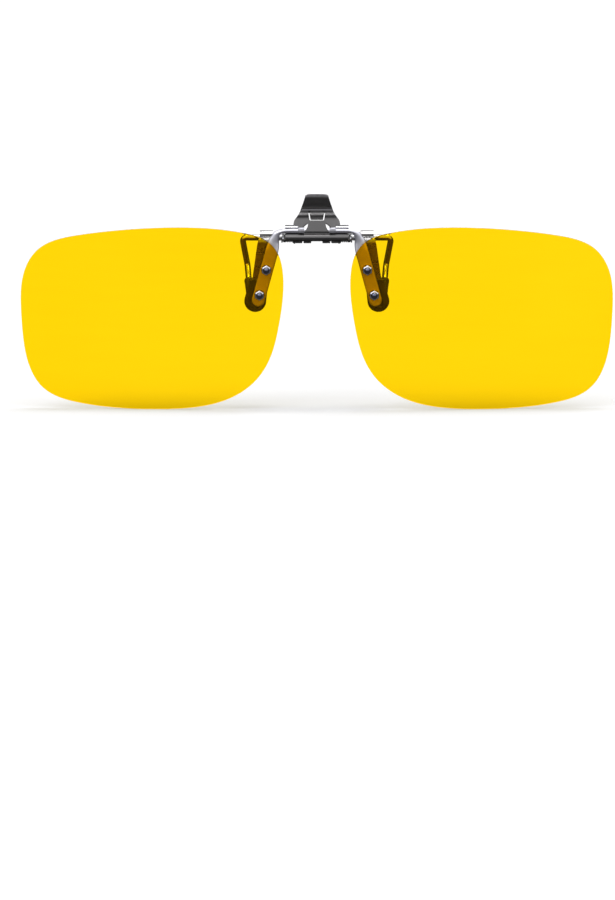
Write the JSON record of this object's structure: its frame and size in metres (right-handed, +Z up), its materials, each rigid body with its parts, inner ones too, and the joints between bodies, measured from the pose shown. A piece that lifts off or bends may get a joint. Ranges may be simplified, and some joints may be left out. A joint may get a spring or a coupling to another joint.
{
  "type": "clip on flip lenses",
  "caption": "Sprung clamp that grips the bridge of spectacles and carries a pair of yellow tinted lenses on a bar that flips up.",
  "frame": {"origin": "middle of the clamp, between the front and rear pads, on the middle plane", "axes": "+X to the right seen from the front, -Y towards the front (the lenses), +Z up; the spectacles enter the clamp from below along +Z"},
  "size_m": [0.138, 0.017, 0.0497],
  "materials": {
    "lens": "polished, clear yellow tint",
    "bar_steel": "polished stainless wire",
    "fastener_chrome": "bright plated",
    "spacer_nylon": "moulded nylon",
    "gunmetal": "gunmetal plated sheet steel",
    "spring_steel": "bright spring steel",
    "pad_rubber": "soft moulded sleeve",
    "wire_steel": "dark plated wire"
  },
  "bodies": {
    "clamp_base": {"base_plate": "gunmetal", "flip_bracket": "gunmetal", "barrel_pin": "fastener_chrome", "left_rod_clip": "spring_steel", "right_rod_clip": "spring_steel", "plate_rivets": "gunmetal", "left_front_pad": "pad_rubber", "right_front_pad": "pad_rubber", "left_jaw_spring": "spring_steel", "right_jaw_spring": "spring_steel"},
    "rear_jaw": {"rear_wire": "wire_steel", "thumb_plate": "gunmetal", "left_rear_pad": "pad_rubber", "right_rear_pad": "pad_rubber"},
    "lens_unit": {"lens_bar": "bar_steel", "left_lens": "lens", "right_lens": "lens", "lens_screws": "fastener_chrome", "dome_nuts": "fastener_chrome", "lens_washers": "fastener_chrome", "lens_spacers": "spacer_nylon"}
  },
  "joints": [
    {"name": "lens_flip", "type": "hinge", "parent": "clamp_base", "child": "lens_unit", "pos_m": [0, -0.00435, 0.0147], "axis": [-1, 0, 0], "range_deg": [0, 145]},
    {"name": "jaw_open", "type": "hinge", "parent": "clamp_base", "child": "rear_jaw", "pos_m": [0, 0.00665, 0.01233], "axis": [1, 0, 0], "range_deg": [0, 25], "stiffness_Nm_per_rad": 0.015, "springref_deg": -51.57, "deforming": ["left_jaw_spring", "right_jaw_spring"]}
  ]
}
